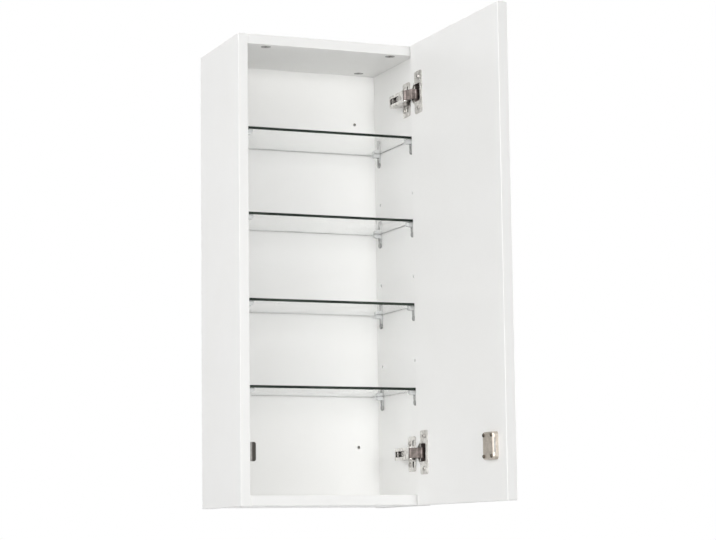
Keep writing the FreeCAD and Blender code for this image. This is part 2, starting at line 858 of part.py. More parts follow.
os.makedirs("parts", exist_ok=True)
save("left_side_panel", [side_panel(-1)])
save("right_side_panel", [side_panel(1)])
save("top_panel", [flat_panel(ceiling_z, ceiling_z, 1)])
save("bottom_panel", [flat_panel(floor_z + bottom_rise, bottom_top_z, -1)])
save("back_panel", [back_panel()])
for name, centre in zip(("upper_wall_rail", "lower_wall_rail"), rail_centres()):
    save(name, [wall_rail(centre)])
save("cam_locks", [cam_lock(*place) for place in corner_joint_places()])
save("cam_bolts", [cam_bolt(*place) for place in corner_joint_places()])
save("wooden_dowels", [dowel(*place) for place in dowel_places()])
for number, pin_z in enumerate(shelf_hole_heights()[::shelf_step], start=1):
    save("glass_shelf_%d" % number, [glass_shelf(pin_z)])
    save("shelf_supports_%d" % number, [shelf_support(side, y, pin_z) for side in (-1, 1) for y in row_ys])
for name, z in hinge_zs.items():
    save("hinge_plate_" + name, [hinge_plate(z)])
    save("hinge_arm_" + name, [hinge_arm(z)])
    save("hinge_link_" + name, [hinge_link(z)])
    save("hinge_cup_" + name, [hinge_cup(z)])
save("hinge_plate_screws", [plate_screw(z, row) for z, row in plate_screw_places()])
save("hinge_fixing_screws", [arm_screw(fixing_screw_place, saddle_top - saddle_thread, z)
                             for z in hinge_zs.values()])
save("hinge_adjusting_screws", [arm_screw(adjusting_screw_place, plate_thickness, z)
                                for z in hinge_zs.values()])
save("hinge_arm_pins", [arm_pin(z) for z in hinge_zs.values()])
save("hinge_cup_pins", [cup_pin(z) for z in hinge_zs.values()])
save("hinge_cup_screws", [opened(cup_screw(z)) for z in cup_screw_places()])
save("door_panel", [door_panel()])
save("lock_case", [lock_case()])
save("lock_screws", [opened(lock_screw(across, up)) for across, up in lock_screw_places()])
save("lock_cylinder", [lock_cylinder()])
save("key_plug", [key_plug()])
save("lock_bolt", [lock_bolt()])
save("lock_keeper", [lock_keeper()])
save("keeper_screws", [keeper_screw(z) for z in keeper_screw_heights()])
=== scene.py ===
import json
from math import radians

import bpy
from mathutils import Matrix, Quaternion, Vector

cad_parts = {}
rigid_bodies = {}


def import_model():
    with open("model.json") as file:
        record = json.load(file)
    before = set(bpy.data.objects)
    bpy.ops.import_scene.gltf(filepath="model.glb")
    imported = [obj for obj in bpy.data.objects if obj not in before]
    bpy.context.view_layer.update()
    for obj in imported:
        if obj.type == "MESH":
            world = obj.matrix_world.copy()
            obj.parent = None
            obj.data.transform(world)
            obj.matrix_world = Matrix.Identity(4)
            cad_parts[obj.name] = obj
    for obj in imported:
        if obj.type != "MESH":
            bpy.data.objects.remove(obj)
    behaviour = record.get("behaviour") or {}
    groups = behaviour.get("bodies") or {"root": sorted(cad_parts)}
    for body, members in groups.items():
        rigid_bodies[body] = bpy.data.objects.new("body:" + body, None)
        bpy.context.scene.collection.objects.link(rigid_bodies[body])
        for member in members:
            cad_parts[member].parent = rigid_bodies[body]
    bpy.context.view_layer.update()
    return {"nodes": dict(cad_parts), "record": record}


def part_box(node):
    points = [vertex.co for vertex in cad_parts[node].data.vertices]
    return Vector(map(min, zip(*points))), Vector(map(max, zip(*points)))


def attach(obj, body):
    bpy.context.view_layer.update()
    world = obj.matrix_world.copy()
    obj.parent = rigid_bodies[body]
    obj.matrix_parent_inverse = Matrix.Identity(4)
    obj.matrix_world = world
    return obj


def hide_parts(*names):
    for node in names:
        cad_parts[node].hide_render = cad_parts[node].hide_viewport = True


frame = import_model()
nodes = frame["nodes"]
bodies = frame["record"]["behaviour"]["bodies"]
bodyOf = {node: body for body, members in bodies.items() for node in members}
print("frame loaded:", len(nodes), "pieces")

# a unit normal or edge counts as along an axis above the first share, and as across it below the second
along = 0.9
across = 0.1


# selection and modelling helpers
def clearSelection():
    for thing in bpy.context.view_layer.objects:
        thing.select_set(False)


def pickOnly(thing):
    clearSelection()
    thing.select_set(True)
    bpy.context.view_layer.objects.active = thing


def toObjectMode():
    bpy.ops.object.mode_set(mode="OBJECT")


def toEditMode():
    bpy.ops.object.mode_set(mode="EDIT")


def pickNothing(thing, kind):
    pickOnly(thing)
    toEditMode()
    bpy.ops.mesh.select_mode(type=kind)
    bpy.ops.mesh.select_all(action="DESELECT")
    toObjectMode()


def pickFaces(thing, wanted):
    pickNothing(thing, "FACE")
    for face in thing.data.polygons:
        face.select = wanted(face.center, face.normal)
    toEditMode()


def pickEdges(thing, wanted):
    pickNothing(thing, "EDGE")
    corners = thing.data.vertices
    for edge in thing.data.edges:
        first, second = (corners[index].co for index in edge.vertices)
        edge.select = wanted((first + second) / 2, (second - first).normalized())
    toEditMode()


def applyPlace(thing):
    pickOnly(thing)
    bpy.ops.object.transform_apply(location=True, rotation=True, scale=True)


def applyModifier(thing, kind, **settings):
    pickOnly(thing)
    modifier = thing.modifiers.new("shaping", kind)
    for key, value in settings.items():
        setattr(modifier, key, value)
    bpy.ops.object.modifier_apply(modifier=modifier.name)


def smoothByAngle(thing, degrees):
    pickOnly(thing)
    bpy.ops.object.shade_smooth_by_angle(angle=radians(degrees))
    applyModifier(thing, "WEIGHTED_NORMAL", weight=100, keep_sharp=True)  # wide flats stay flat


def ownCopy(thing, name):
    twin = thing.copy()
    twin.data = thing.data.copy()
    twin.name = name
    bpy.context.scene.collection.objects.link(twin)
    return twin


def joinPieces(pieces, name):
    clearSelection()
    for piece in pieces:
        piece.select_set(True)
    bpy.context.view_layer.objects.active = pieces[0]
    bpy.ops.object.join()
    pieces[0].name = name
    return pieces[0]


# camera, solved from the straight edges of the cabinet in the picture
cameraView = {
    "place": (-1.1895, -3.1851, -0.4114),
    "turn": -22.208,
    "tiltUp": 7.243,
    "roll": -0.7316,
    "lens": 109.92,
    "sensor": 36,
    "farthest": 200,
}


def makeCamera(view):
    turn = Matrix.Rotation(radians(view["turn"]), 3, "Z")
    tilt = Matrix.Rotation(radians(90 + view["tiltUp"]), 3, "X")
    roll = Matrix.Rotation(radians(view["roll"]), 3, "Z")
    clearSelection()
    bpy.ops.object.camera_add(location=view["place"], rotation=(turn @ tilt @ roll).to_euler())
    camera = bpy.context.object
    camera.name = "photoCamera"
    camera.data.sensor_fit = "HORIZONTAL"
    camera.data.sensor_width = view["sensor"]
    camera.data.lens = view["lens"]
    camera.data.clip_end = view["farthest"]
    bpy.context.scene.camera = camera


makeCamera(cameraView)
print("camera set")


# node helpers for the finishes
def newFinish(name):
    finish = bpy.data.materials.new(name)
    finish.use_nodes = True
    finish.node_tree.nodes.clear()
    return finish, finish.node_tree


def addNode(tree, kind, **settings):
    node = tree.nodes.new(kind)
    for key, value in settings.items():
        setattr(node, key, value)
    return node


def setInputs(node, values):
    for key, value in values.items():
        node.inputs[key].default_value = value


def wire(tree, source, target):
    tree.links.new(source, target)


def closeFinish(tree, shader):
    output = addNode(tree, "ShaderNodeOutputMaterial")
    wire(tree, shader, output.inputs["Surface"])


def pieceSpace(tree, centre=(0, 0, 0), turn=0.0):
    coordinates = addNode(tree, "ShaderNodeTexCoord")
    mapping = addNode(tree, "ShaderNodeMapping", vector_type="TEXTURE")
    setInputs(mapping, {"Location": centre, "Rotation": (0, 0, radians(turn))})
    wire(tree, coordinates.outputs["Object"], mapping.inputs["Vector"])
    return mapping.outputs["Vector"]


def stretched(tree, vector, scale):
    mapping = addNode(tree, "ShaderNodeMapping")
    setInputs(mapping, {"Scale": scale})
    wire(tree, vector, mapping.inputs["Vector"])
    return mapping.outputs["Vector"]


def axesOf(tree, vector):
    parts = addNode(tree, "ShaderNodeSeparateXYZ")
    wire(tree, vector, parts.inputs[0])
    return parts.outputs


def noise(tree, vector, scale, detail):
    node = addNode(tree, "ShaderNodeTexNoise")
    setInputs(node, {"Scale": scale, "Detail": detail})
    wire(tree, vector, node.inputs["Vector"])
    return node.outputs["Fac"]


def spread(tree, value, low, high, fromLow=0.3, fromHigh=0.7):
    node = addNode(tree, "ShaderNodeMapRange", interpolation_type="SMOOTHSTEP")
    setInputs(node, {"From Min": fromLow, "From Max": fromHigh, "To Min": low, "To Max": high})
    wire(tree, value, node.inputs["Value"])
    return node.outputs["Result"]


def mathNode(tree, operation, first, second=None):
    node = addNode(tree, "ShaderNodeMath", operation=operation)
    for index, value in enumerate((first, second)):
        if value is None:
            continue
        if isinstance(value, (int, float)):
            node.inputs[index].default_value = value
        else:
            wire(tree, value, node.inputs[index])
    return node.outputs[0]


def twoTone(tree, factor, first, second):
    node = addNode(tree, "ShaderNodeMix", data_type="RGBA")
    wire(tree, factor, node.inputs[0])
    for socket, colour in ((node.inputs[6], first), (node.inputs[7], second)):
        if isinstance(colour, tuple):
            socket.default_value = (*colour, 1)
        else:
            wire(tree, colour, socket)
    return node.outputs[2]


def bumpFrom(tree, height, strength, distance):
    node = addNode(tree, "ShaderNodeBump")
    setInputs(node, {"Strength": strength, "Distance": distance})
    wire(tree, height, node.inputs["Height"])
    return node.outputs["Normal"]


def openNearby(tree, reach, onlyLocal, samples=8):
    node = addNode(tree, "ShaderNodeAmbientOcclusion", samples=samples, only_local=onlyLocal)
    setInputs(node, {"Distance": reach})
    return node.outputs["AO"]


def principled(tree, colour, roughness, normal=None, **fixed):
    skin = addNode(tree, "ShaderNodeBsdfPrincipled")
    for key, value in fixed.items():
        skin.inputs[key.replace("_", " ")].default_value = value
    for name, value in (("Base Color", colour), ("Roughness", roughness), ("Normal", normal)):
        if value is None:
            continue
        if isinstance(value, tuple):
            skin.inputs[name].default_value = (*value, 1)
        elif isinstance(value, (int, float)):
            skin.inputs[name].default_value = value
        else:
            wire(tree, value, skin.inputs[name])
    return skin.outputs[0]


def chooseShader(tree, factor, first, second):
    choice = addNode(tree, "ShaderNodeMixShader")
    for index, source in enumerate((factor, first, second)):
        wire(tree, source, choice.inputs[index])
    return choice.outputs[0]


def dress(thing, finish):
    thing.data.materials.clear()
    thing.data.materials.append(finish)


def paintFaces(thing, finish, wanted):
    thing.data.materials.append(finish)
    pickFaces(thing, wanted)
    thing.active_material_index = len(thing.data.materials) - 1
    bpy.ops.object.material_slot_assign()
    toObjectMode()


# In the settings below a noise is its scale and detail, and a relief its strength and height.

# white melamine boards: satin skin, thin edge band, bare chipboard where a real one is left unbanded
melamine = {
    "white": (0.898, 0.897, 0.885),
    "whiteWarm": (0.889, 0.887, 0.872),
    "cloud": (9, 3),
    # the edge band's tone is partly its own and partly painted shade, set darker than the face for the
    # front edges
    "bandToneWithShade": (0.790, 0.789, 0.778),
    "bandPlace": 0.00075,
    "bandLine": (0.70, 0.69, 0.67),
    "bandLineShare": 0.55,
    "bandLineFrom": (0.000048, 0.00012),
    "gloss": (0.36, 0.46),
    "glossCloud": (60, 4),
    "peel": (1600, 2),
    "peelRelief": (0.25, 0.00003),
    "bareDepth": 0.0002,
    "bareGloss": 0.85,
    "chips": ((0.30, 0.20, 0.115), (0.47, 0.34, 0.21), (0.63, 0.49, 0.33)),
    "chipScale": 420,
    "chipStretch": (1, 1, 1.7),
    "chipDust": (900, 4),
}
boards = {
    "left_side_panel": "rear",
    "right_side_panel": "rear",
    "top_panel": "rear",
    "bottom_panel": "rear",
    "upper_wall_rail": "ends",
    "lower_wall_rail": "ends",
    "door_panel": "",
}
doorBoard = {"centre": (0.1360284, -0.3331074, 0), "half": (0.148, 0.0075, 0.3495), "turn": 91}


def chipboard(tree, space, look):
    cells = addNode(tree, "ShaderNodeTexVoronoi", feature="F1")
    setInputs(cells, {"Scale": look["chipScale"], "Randomness": 1})
    wire(tree, stretched(tree, space, look["chipStretch"]), cells.inputs["Vector"])
    parts = addNode(tree, "ShaderNodeSeparateColor")
    wire(tree, cells.outputs["Color"], parts.inputs[0])
    dark, middle, light = look["chips"]
    base = twoTone(tree, parts.outputs[0], dark, light)
    return twoTone(tree, spread(tree, noise(tree, space, *look["chipDust"]), 0, 1), base, middle)


def boardFinish(name, look, board, bare):
    finish, tree = newFinish(name)
    half = board["half"]
    space = pieceSpace(tree, board["centre"], board["turn"])
    size = addNode(tree, "ShaderNodeVectorMath", operation="ABSOLUTE")
    wire(tree, space, size.inputs[0])
    inside = addNode(tree, "ShaderNodeVectorMath", operation="SUBTRACT")
    inside.inputs[0].default_value = half
    wire(tree, size.outputs[0], inside.inputs[1])
    x, y, z = axesOf(tree, inside.outputs[0])
    # the middle one of the three gaps is the distance to the nearest arris
    nearest = mathNode(tree, "MINIMUM", mathNode(tree, "MINIMUM", x, y), z)
    farthest = mathNode(tree, "MAXIMUM", mathNode(tree, "MAXIMUM", x, y), z)
    total = mathNode(tree, "ADD", mathNode(tree, "ADD", x, y), z)
    arris = mathNode(tree, "SUBTRACT", mathNode(tree, "SUBTRACT", total, nearest), farthest)
    offLine = mathNode(tree, "ABSOLUTE", mathNode(tree, "SUBTRACT", arris, look["bandPlace"]))
    line = spread(tree, offLine, look["bandLineShare"], 0, *look["bandLineFrom"])
    cloud = spread(tree, noise(tree, space, *look["cloud"]), 0, 1)
    # the faces across the board's thin way are skin, and the rest are edge band
    thin = (x, y, z)[list(half).index(min(half))]
    onBand = mathNode(tree, "GREATER_THAN", thin, look["bandPlace"])
    # edge band faces take the darker band tone, partly painted shade
    face = twoTone(tree, onBand, twoTone(tree, cloud, look["white"], look["whiteWarm"]), look["bandToneWithShade"])
    colour = twoTone(tree, line, face, look["bandLine"])
    gloss = spread(tree, noise(tree, space, *look["glossCloud"]), *look["gloss"])
    if bare:
        if bare == "rear":
            rough = mathNode(tree, "GREATER_THAN", axesOf(tree, space)[1], half[1] - look["bareDepth"])
        else:
            rough = mathNode(tree, "LESS_THAN", mathNode(tree, "MINIMUM", x, z), look["bareDepth"])
        colour = twoTone(tree, rough, colour, chipboard(tree, space, look))
        gloss = mathNode(tree, "MAXIMUM", gloss, mathNode(tree, "MULTIPLY", rough, look["bareGloss"]))
    normal = bumpFrom(tree, noise(tree, space, *look["peel"]), *look["peelRelief"])
    closeFinish(tree, principled(tree, colour, gloss, normal))
    return finish


for name, bare in boards.items():
    low, high = (Vector(corner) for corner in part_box(name))
    board = {"centre": (low + high) / 2, "half": (high - low) / 2, "turn": 0}
    if name == "door_panel":
        board = doorBoard
    dress(nodes[name], boardFinish(name + "_finish", melamine, board, bare))

# thin back: painted white inside, bare brown hardboard towards the wall
hardboard = {
    "white": (0.938, 0.937, 0.924),
    "whiteWarm": (0.930, 0.928, 0.913),
    "cloud": (7, 3),
    "brown": (0.31, 0.195, 0.105),
    "brownLight": (0.42, 0.285, 0.165),
    "middle": -0.0165,
    "fibre": (700, 6),
    "fibreStretch": (1, 1, 0.6),
    "fibreRelief": (0.2, 0.00003),
    "gloss": (0.42, 0.52),
    "glossCloud": (80, 3),
    "bareGloss": 0.8,
}


def hardboardFinish(look):
    finish, tree = newFinish("back_panel_finish")
    space = pieceSpace(tree)
    rear = mathNode(tree, "GREATER_THAN", axesOf(tree, space)[1], look["middle"])
    cloud = spread(tree, noise(tree, space, *look["cloud"]), 0, 1)
    paint = twoTone(tree, cloud, look["white"], look["whiteWarm"])
    fibre = noise(tree, stretched(tree, space, look["fibreStretch"]), *look["fibre"])
    bare = twoTone(tree, spread(tree, fibre, 0, 1), look["brown"], look["brownLight"])
    gloss = spread(tree, noise(tree, space, *look["glossCloud"]), *look["gloss"])
    gloss = mathNode(tree, "MAXIMUM", gloss, mathNode(tree, "MULTIPLY", rear, look["bareGloss"]))
    normal = bumpFrom(tree, fibre, *look["fibreRelief"])
    closeFinish(tree, principled(tree, twoTone(tree, rear, paint, bare), gloss, normal))
    return finish


dress(nodes["back_panel"], hardboardFinish(hardboard))
print("boards dressed:", len(boards) + 1)


# metals: two tones in a cloudy mottle that is partly painted reflection, a drawn or tumbled grain in the
# gloss, fine scratches in the bump, and painted shade darkening the crevices
# the cloud and its share give the metals a painted reflection mottle; the grain is their real drawn or
# tumbled wear
metalWearAndReflection = {
    "grainDetail": 4,
    "grainShare": 0.35,
    "cloud": (140, 3),
    "paintedReflectionShare": 0.65,
    "toneFrom": (0.38, 0.62),
    "glossFrom": (0.35, 0.65),
    "scratchRelief": (0.12, 0.00004),
}
# painted shade for the metals' crevices: its colour, the reach of the occlusion and the range it is
# spread over
creviceShade = {"colour": (0.055, 0.048, 0.042), "reach": 0.0022, "from": (0.3, 0.9)}
metals = {
    "hingeNickel": {
        "light": (0.79, 0.775, 0.75), "dark": (0.54, 0.52, 0.495),
        "gloss": (0.22, 0.34), "grain": (60, 900, 60),
    },
    # painted shade: a near-black finish on the arm's channel and pocket and the plate's slots
    "hingeRecessShade": {
        "light": (0.075, 0.066, 0.06), "dark": (0.035, 0.031, 0.028),
        "gloss": (0.4, 0.55), "grain": (300, 300, 300),
    },
    "supportPin": {
        "light": (0.46, 0.46, 0.455), "dark": (0.28, 0.28, 0.275),
        "gloss": (0.25, 0.4), "grain": (600, 600, 600),
    },
    # painted shade: darker nickel inside the cup's hollow
    "cupHollowShade": {
        "light": (0.26, 0.228, 0.215), "dark": (0.17, 0.15, 0.142),
        "gloss": (0.45, 0.6), "grain": (90, 90, 700),
    },
    "linkNickel": {
        "light": (0.36, 0.315, 0.295), "dark": (0.25, 0.215, 0.20),
        "gloss": (0.58, 0.72), "grain": (90, 90, 700),
    },
    "lockNickel": {
        "light": (0.60, 0.545, 0.485), "dark": (0.51, 0.46, 0.405),
        "gloss": (0.32, 0.44), "grain": (120, 120, 1500),
    },
    "screwSteel": {
        "light": (0.62, 0.60, 0.57), "dark": (0.47, 0.45, 0.43),
        "gloss": (0.22, 0.38), "grain": (800, 800, 800), "creviceShadeReach": 0.0008,
    },
    "lockScrewSteel": {
        "light": (0.16, 0.135, 0.11), "dark": (0.08, 0.066, 0.054),
        "gloss": (0.28, 0.42), "grain": (800, 800, 800), "creviceShadeReach": 0.0008,
    },
    "pinSteel": {
        "light": (0.58, 0.56, 0.54), "dark": (0.44, 0.42, 0.41),
        "gloss": (0.2, 0.32), "grain": (300, 300, 1500),
    },
    "castZinc": {
        "light": (0.52, 0.51, 0.50), "dark": (0.36, 0.355, 0.35),
        "gloss": (0.42, 0.6), "grain": (700, 700, 700),
    },
    "boltSteel": {
        "light": (0.66, 0.65, 0.63), "dark": (0.52, 0.51, 0.49),
        "gloss": (0.22, 0.36), "grain": (900, 120, 120),
    },
}


def metalFinish(name, look, wearAndReflection):
    finish, tree = newFinish(name)
    space = pieceSpace(tree)
    grain = noise(tree, stretched(tree, space, look["grain"]), 1, wearAndReflection["grainDetail"])
    cloud = noise(tree, space, *wearAndReflection["cloud"])
    grainPart = mathNode(tree, "MULTIPLY", grain, wearAndReflection["grainShare"])
    # painted reflection: the cloud's share mottles the metal dark and light in place of mirrored
    # surroundings, mixed with the real grain
    wornAndReflected = mathNode(tree, "ADD", grainPart, mathNode(tree, "MULTIPLY", cloud, wearAndReflection["paintedReflectionShare"]))
    colour = twoTone(tree, spread(tree, wornAndReflected, 0, 1, *wearAndReflection["toneFrom"]), look["dark"], look["light"])
    # painted shade: ambient occlusion darkens the colour in crevices, recesses and cross slots
    openness = openNearby(tree, look.get("creviceShadeReach", creviceShade["reach"]), True)
    colour = twoTone(tree, spread(tree, openness, 1, 0, *creviceShade["from"]), colour, creviceShade["colour"])
    glossy, dull = look["gloss"]
    gloss = spread(tree, wornAndReflected, dull, glossy, *wearAndReflection["glossFrom"])
    normal = bumpFrom(tree, grain, *wearAndReflection["scratchRelief"])
    closeFinish(tree, principled(tree, colour, gloss, normal, Metallic=1.0))
    return finish


finishes = {name: metalFinish(name, look, metalWearAndReflection) for name, look in metals.items()}

# dark lacquer on the keeper, with a painted highlight in a lighter strip beside the panel, broken up by
# noise
lacquer = {
    "dark": (0.026, 0.022, 0.019),
    "brown": (0.052, 0.044, 0.037),
    "speckle": (900, 5),
    "speckleRelief": (0.2, 0.00004),
    # painted highlight: the lighter colour, the strip's place beside the panel and the noise that breaks
    # it up
    "edgeHighlight": (0.34, 0.325, 0.31),
    "edgeHighlightFrom": (-0.1328, -0.1316),
    "highlightBreakup": (260, 4),
    "highlightBreakupShare": (0.72, 1),
    "gloss": (0.34, 0.5),
    "glossCloud": (300, 4),
    "specular": 0.3,
}


def lacquerFinish(name, look):
    finish, tree = newFinish(name)
    space = pieceSpace(tree)
    # painted highlight: a lighter strip along the keeper's side nearest the panel
    edgeHighlight = spread(tree, axesOf(tree, space)[0], 1, 0, *look["edgeHighlightFrom"])
    speckle = noise(tree, space, *look["speckle"])
    coat = twoTone(tree, spread(tree, speckle, 0, 1), look["dark"], look["brown"])
    highlightBreakup = spread(tree, noise(tree, space, *look["highlightBreakup"]), *look["highlightBreakupShare"])
    coat = twoTone(tree, mathNode(tree, "MULTIPLY", edgeHighlight, highlightBreakup), coat, look["edgeHighlight"])
    gloss = spread(tree, noise(tree, space, *look["glossCloud"]), *look["gloss"])
    normal = bumpFrom(tree, speckle, *look["speckleRelief"])
    closeFinish(tree, principled(tree, coat, gloss, normal, Specular_IOR_Level=look["specular"]))
    return finish


# turned beech for the dowels
beech = {
    "light": (0.66, 0.47, 0.29),
    "dark": (0.50, 0.33, 0.185),
    "gloss": (0.5, 0.66),
    "grain": (60, 900, 900),
    "grainDetail": 5,
    "grainRelief": (0.3, 0.0001),
}


def beechFinish(name, look):
    finish, tree = newFinish(name)
    grain = noise(tree, stretched(tree, pieceSpace(tree), look["grain"]), 1, look["grainDetail"])
    colour = twoTone(tree, spread(tree, grain, 0, 1), look["dark"], look["light"])
    glossy, dull = look["gloss"]
    gloss = spread(tree, grain, dull, glossy)
    closeFinish(tree, principled(tree, colour, gloss, bumpFrom(tree, grain, *look["grainRelief"])))
    return finish


# see-through finishes let shadow rays pass, so the shelves don't darken the cabinet
clearGlass = {
    "tint": (0.992, 0.998, 0.994),
    "shade": (0.985, 0.995, 0.99),
    "ior": 1.5,
    "clear": 1.0,
    "gloss": (0.012, 0.03),
    "smudge": (30, 3),
}
clearPlastic = {
    "tint": (0.92, 0.93, 0.93),
    "shade": (0.78, 0.80, 0.80),
    "ior": 1.46,
    "clear": 0.4,
    "gloss": (0.1, 0.2),
    "smudge": (240, 3),
    # painted shade for the supports: the darker colour, the reach of the occlusion and the range it is
    # spread over
    "corner": (0.36, 0.365, 0.365),
    "cornerReach": 0.002,
    "cornerFrom": (0.25, 0.8),
}


def seeThroughFinish(name, look):
    finish, tree = newFinish(name)
    gloss = spread(tree, noise(tree, pieceSpace(tree), *look["smudge"]), *look["gloss"])
    colour = look["tint"]
    # painted shade: occlusion darkens the moulded plastic where it meets the panel and the glass
    if "corner" in look:  # moulded plastic is darker where it meets the panel and the glass
        openness = openNearby(tree, look["cornerReach"], False)
        shaded = spread(tree, openness, 1, 0, *look["cornerFrom"])
        colour = twoTone(tree, shaded, look["tint"], look["corner"])
    body = principled(tree, colour, gloss, None, Transmission_Weight=look["clear"], IOR=look["ior"])
    shade = addNode(tree, "ShaderNodeBsdfTransparent")
    setInputs(shade, {"Color": (*look["shade"], 1)})
    path = addNode(tree, "ShaderNodeLightPath")
    closeFinish(tree, chooseShader(tree, path.outputs["Is Shadow Ray"], body, shade.outputs[0]))
    return finish


# the polished edge, where the glass shows its own dark green
glassEdge = {
    "dark": (0.016, 0.022, 0.018),
    "green": (0.048, 0.062, 0.05),
    # painted glints: lighter green streaks along the edge
    "glintStreak": (14, 14, 500),
    "glintStreakDetail": 3,
    "glintStreakFrom": (0.42, 0.72),
    "gloss": (0.16, 0.3),
    "glossCloud": (120, 3),
    "specular": 0.1,
}


def glassEdgeFinish(name, look):
    finish, tree = newFinish(name)
    space = pieceSpace(tree)
    # painted glints: noise streaks lighten the dark green along the edge
    glintStreak = noise(tree, stretched(tree, space, look["glintStreak"]), 1, look["glintStreakDetail"])
    colour = twoTone(tree, spread(tree, glintStreak, 0, 1, *look["glintStreakFrom"]), look["dark"], look["green"])
    gloss = spread(tree, noise(tree, space, *look["glossCloud"]), *look["gloss"])
    closeFinish(tree, principled(tree, colour, gloss, None, Specular_IOR_Level=look["specular"]))
    return finish


finishes["shelfGlass"] = seeThroughFinish("shelfGlass", clearGlass)
finishes["supportPlastic"] = seeThroughFinish("supportPlastic", clearPlastic)
finishes["shelfEdgeGlass"] = glassEdgeFinish("shelfEdgeGlass", glassEdge)
finishes["keeperLacquer"] = lacquerFinish("keeperLacquer", lacquer)
finishes["beechDowel"] = beechFinish("beechDowel", beech)

# the fittings that keep their own meshes
cadDress = {
    "hinge_arm_pins": "pinSteel",
    "hinge_cup_pins": "pinSteel",
    "hinge_fixing_screws": "screwSteel",
    "hinge_adjusting_screws": "screwSteel",
    "cam_locks": "castZinc",
    "cam_bolts": "boltSteel",
    "lock_bolt": "boltSteel",
    "lock_cylinder": "lockNickel",
    "key_plug": "lockNickel",
    "wooden_dowels": "beechDowel",
}
for name, finish in cadDress.items():
    dress(nodes[name], finishes[finish])
print("fittings dressed:", len(cadDress))


# glass shelves with ground corners and polished arrises
shelf = {
    "count": 4,
    "cornerRound": 0.0016,
    "cornerSteps": 4,
    "arrisRound": 0.0005,
    "arrisSteps": 3,
    "onFace": 0.00001,
    "smoothAngle": 25,
}


def makeShelf(node, look):
    low, high = (Vector(corner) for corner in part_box(node))

    def onRim(middle, run):
        return abs(run.z) < across and min(middle.z - low.z, high.z - middle.z) < look["onFace"]

    clearSelection()
    bpy.ops.mesh.primitive_cube_add(size=1, location=(low + high) / 2, scale=high - low)
    pane = bpy.context.object
    pane.name = node + "_pane"
    applyPlace(pane)
    pickEdges(pane, lambda middle, run: abs(run.z) > along)
    bpy.ops.mesh.bevel(offset=look["cornerRound"], segments=look["cornerSteps"])
    toObjectMode()
    pickEdges(pane, onRim)
    bpy.ops.mesh.bevel(offset=look["arrisRound"], segments=look["arrisSteps"])
    toObjectMode()
    dress(pane, finishes["shelfGlass"])
    paintFaces(pane, finishes["shelfEdgeGlass"], lambda middle, normal: abs(normal.z) < along)
    smoothByAngle(pane, look["smoothAngle"])
    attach(pane, "cabinet")
    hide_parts(node)


for number in range(1, shelf["count"] + 1):
    makeShelf("glass_shelf_%d" % number, shelf)
print("shelves made:", shelf["count"])


# softened copies of the pressed and moulded fittings; a rule takes a face's middle and the piece's lowest
# height, and tells whether that face gets the second finish, which is painted shade on the hinges'
# recesses and the cup's hollow, and the boss's steel on the supports
doorMiddle = Vector(doorBoard["centre"])
doorNormal = Vector((-0.99985, -0.01745, 0))
recesses = {
    "hingeHeight": 0.272,
    "armChannel": {"fromX": 0.1178, "fromY": -0.178, "half": 0.008},
    "armPocket": {"x": (0.1167, 0.1188), "y": (-0.1582, -0.1268), "half": 0.0043},
    "plateSlot": {"fromX": 0.1334, "y": (-0.1586, -0.1534), "away": (0.0111, 0.0209)},
    "cupRim": 0.0073,
    "bossHeight": 0.0086,
}


def within(value, limits):
    return limits[0] < value < limits[1]


def fromHinge(middle):
    return abs(abs(middle.z) - recesses["hingeHeight"])


def armRecess(middle, foot):
    channel, pocket = recesses["armChannel"], recesses["armPocket"]
    away = fromHinge(middle)
    byChannel = middle.x > channel["fromX"] and middle.y > channel["fromY"]
    byPocket = within(middle.x, pocket["x"]) and within(middle.y, pocket["y"])
    return (byChannel and away < channel["half"]) or (byPocket and away < pocket["half"])


def plateRecess(middle, foot):
    slot = recesses["plateSlot"]
    inSlot = within(middle.y, slot["y"]) and within(fromHinge(middle), slot["away"])
    return inSlot and middle.x > slot["fromX"]


def cupRecess(middle, foot):
    return (middle - doorMiddle).dot(doorNormal) < recesses["cupRim"]


def supportBoss(middle, foot):
    return middle.z - foot < recesses["bossHeight"]


softening = {"merge": 0.000002, "flatAngle": 0.5, "steps": 2, "edgeAngle": 40, "smoothAngle": 32}
hingeSides = ("upper", "lower")
hingeLooks = {
    "hinge_arm": {
        "round": 0.00035, "finish": "hingeNickel", "slot": "satin_nickel",
        "second": (armRecess, "hingeRecessShade"),
    },
    "hinge_plate": {
        "round": 0.00035, "finish": "hingeNickel", "slot": "satin_nickel",
        "second": (plateRecess, "hingeRecessShade"),
    },
    "hinge_cup": {
        "round": 0.0003, "finish": "hingeNickel", "slot": "satin_nickel",
        "second": (cupRecess, "cupHollowShade"),
    },
    "hinge_link": {"round": 0.0003, "finish": "linkNickel", "slot": "satin_nickel"},
}
lockLooks = {
    "lock_case": {"round": 0.0006, "finish": "lockNickel", "slot": "satin_nickel"},
    "lock_keeper": {"round": 0.0005, "finish": "keeperLacquer", "slot": "dark_brown_steel"},
}
supportLook = {
    "round": 0.0005, "finish": "supportPlastic", "slot": "clear_plastic",
    "second": (supportBoss, "supportPin"),
}
softened = {part + "_" + side: look for side in hingeSides for part, look in hingeLooks.items()}
softened.update(lockLooks)
softened.update({"shelf_supports_%d" % number: supportLook for number in range(1, shelf["count"] + 1)})


